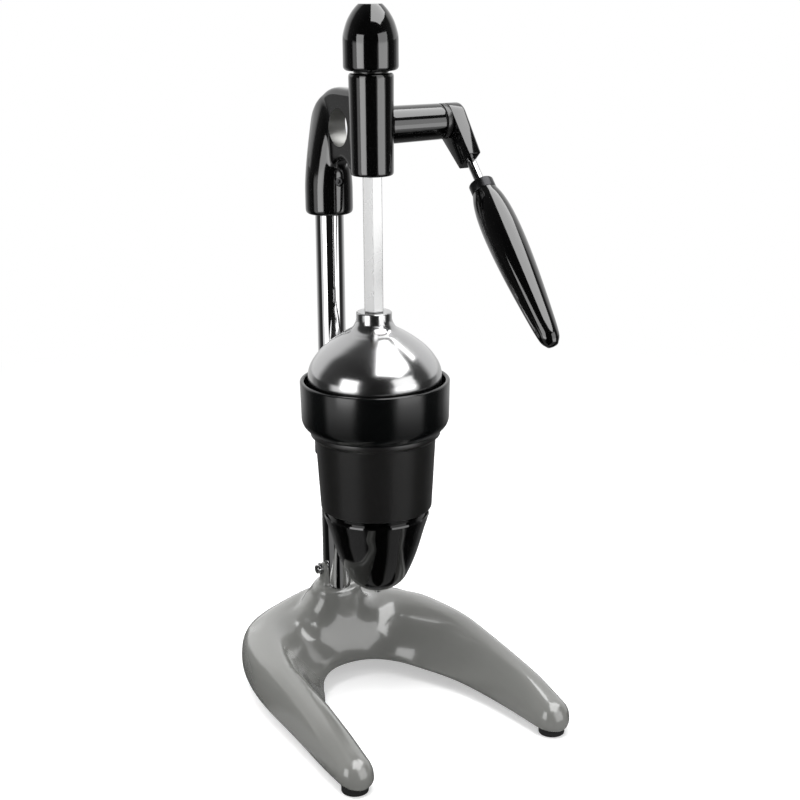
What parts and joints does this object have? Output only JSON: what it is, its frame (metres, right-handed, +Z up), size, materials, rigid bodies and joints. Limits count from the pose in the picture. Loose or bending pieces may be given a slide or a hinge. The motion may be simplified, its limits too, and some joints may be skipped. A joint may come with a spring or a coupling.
{
  "type": "lever citrus juice press",
  "caption": "Upright citrus press: a lever turns a pinion that drives a toothed ram and its dome down over a ribbed reamer in a cup above a spout.",
  "frame": {"origin": "centre of the bounding box at the bottom, on the bench the feet stand on", "axes": "+Z up along the column, front of the press towards -Y, lever on the +X side"},
  "size_m": [0.1814, 0.2272, 0.4928],
  "materials": {
    "grey_enamel": "glossy grey enamel",
    "black_enamel": "glossy black enamel",
    "satin_black": "satin black enamel",
    "chrome": "mirror chrome",
    "steel": "polished",
    "dark_steel": "blackened",
    "bronze": "machined",
    "rubber": "matt",
    "black_plastic": "glossy"
  },
  "bodies": {
    "frame": {"base_casting": "grey_enamel", "rubber_foot_front_left": "rubber", "rubber_foot_front_right": "rubber", "rubber_foot_rear_left": "rubber", "rubber_foot_rear_right": "rubber", "foot_screw_front_left": "steel", "foot_screw_front_right": "steel", "foot_screw_rear_left": "steel", "foot_screw_rear_right": "steel", "column": "chrome", "column_washer": "steel", "column_bolt": "dark_steel", "column_clamp_washer_left": "steel", "column_clamp_screw_left": "chrome", "column_clamp_washer_right": "steel", "column_clamp_screw_right": "chrome", "head_casting": "black_enamel", "head_set_screw": "dark_steel", "upper_ram_bush": "satin_black", "lower_ram_bush": "bronze", "inner_shaft_bush": "bronze", "outer_shaft_bush": "bronze", "thrust_washer": "satin_black", "bowl_holder": "satin_black", "holder_clamp_screw": "dark_steel", "drip_cone": "black_enamel", "spout_tip": "chrome", "juice_cup": "black_enamel", "strainer_cup": "steel", "reamer_cone": "steel"},
    "ram": {"ram_rack": "steel", "press_dome": "steel", "dome_nut": "dark_steel", "bullet_cap": "black_enamel"},
    "lever": {"pinion_shaft": "steel", "crank_arm": "black_enamel", "arm_set_screw": "dark_steel", "lever_rod": "chrome", "lever_ferrule": "dark_steel", "lever_grip": "black_plastic"}
  },
  "joints": [
    {"name": "lever_turn", "type": "hinge", "parent": "frame", "child": "lever", "pos_m": [0.069, 0.01531, 0.413], "axis": [-1, 0, 0], "range_deg": [0, 240]},
    {"name": "ram_slide", "type": "slide", "parent": "frame", "child": "ram", "axis": [0, 0, 1], "range_m": [0, 0.0315]}
  ],
  "couplings": [
    {"joint": "ram_slide", "follows": "lever_turn", "m_per_rad": 0.0075}
  ]
}
